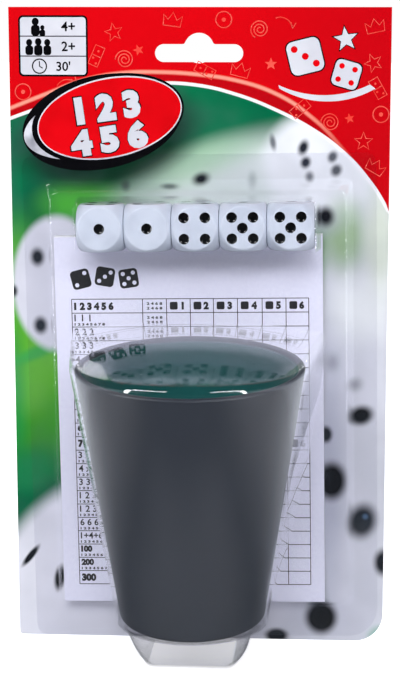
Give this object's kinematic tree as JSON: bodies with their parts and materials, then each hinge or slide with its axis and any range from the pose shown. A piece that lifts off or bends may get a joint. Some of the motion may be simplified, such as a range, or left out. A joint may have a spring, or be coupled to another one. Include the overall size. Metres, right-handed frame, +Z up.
{
  "type": "carded dice cup game",
  "caption": "Dice cup game on a hang card: a clear blister with a flat foot holds a felt-lined cup, a row of dice and a score pad.",
  "frame": {"origin": "under the middle of the pack's box, on the surface that it stands on", "axes": "+Z up along the card, +Y out of the card's back, -Y towards the viewer, +X to the viewer's right"},
  "size_m": [0.13, 0.082, 0.222],
  "materials": {
    "card_board": "gloss offset print over white board",
    "clear_pet": "clear thermoformed sheet",
    "grey_board": "uncoated grey board",
    "pad_paper": "uncoated printing paper",
    "padding_glue": "dried padding glue",
    "cup_plastic": "satin moulded plastic",
    "cup_felt": "short green felt",
    "dice_plastic": "tumbled glossy plastic",
    "pip_paint": "black enamel in drilled dishes"
  },
  "bodies": {
    "card": {"backing_card": "card_board"},
    "blister": {"clear_blister": "clear_pet"},
    "cup": {"dice_cup": "cup_plastic", "cup_felt_sleeve": "cup_felt", "cup_felt_disc": "cup_felt"},
    "pad": {"score_pad_board": "grey_board", "score_pad_sheets": "pad_paper", "score_pad_top_sheet": "pad_paper", "score_pad_glue_strip": "padding_glue"},
    "die_1": {"die_1": "dice_plastic", "die_1_pips": "pip_paint"},
    "die_2": {"die_2": "dice_plastic", "die_2_pips": "pip_paint"},
    "die_3": {"die_3": "dice_plastic", "die_3_pips": "pip_paint"},
    "die_4": {"die_4": "dice_plastic", "die_4_pips": "pip_paint"},
    "die_5": {"die_5": "dice_plastic", "die_5_pips": "pip_paint"}
  },
  "joints": [
    {"name": "blister_lift", "type": "slide", "parent": "card", "child": "blister", "axis": [0, -1, 0], "range_m": [0, 0.2]},
    {"name": "cup_lift", "type": "slide", "parent": "card", "child": "cup", "axis": [0, -1, 0], "range_m": [0, 0.1]},
    {"name": "pad_lift", "type": "slide", "parent": "card", "child": "pad", "axis": [0, -1, 0], "range_m": [0, 0.02]},
    {"name": "die_1_lift", "type": "slide", "parent": "card", "child": "die_1", "axis": [0, -1, 0], "range_m": [0, 0.05]},
    {"name": "die_2_lift", "type": "slide", "parent": "card", "child": "die_2", "axis": [0, -1, 0], "range_m": [0, 0.05]},
    {"name": "die_3_lift", "type": "slide", "parent": "card", "child": "die_3", "axis": [0, -1, 0], "range_m": [0, 0.05]},
    {"name": "die_4_lift", "type": "slide", "parent": "card", "child": "die_4", "axis": [0, -1, 0], "range_m": [0, 0.05]},
    {"name": "die_5_lift", "type": "slide", "parent": "card", "child": "die_5", "axis": [0, -1, 0], "range_m": [0, 0.05]}
  ],
  "couplings": [
    {"joint": "cup_lift", "follows": "blister_lift", "ratio": 0.5},
    {"joint": "pad_lift", "follows": "blister_lift", "ratio": 0.1},
    {"joint": "die_1_lift", "follows": "blister_lift", "ratio": 0.25},
    {"joint": "die_2_lift", "follows": "blister_lift", "ratio": 0.25},
    {"joint": "die_3_lift", "follows": "blister_lift", "ratio": 0.25},
    {"joint": "die_4_lift", "follows": "blister_lift", "ratio": 0.25},
    {"joint": "die_5_lift", "follows": "blister_lift", "ratio": 0.25}
  ]
}
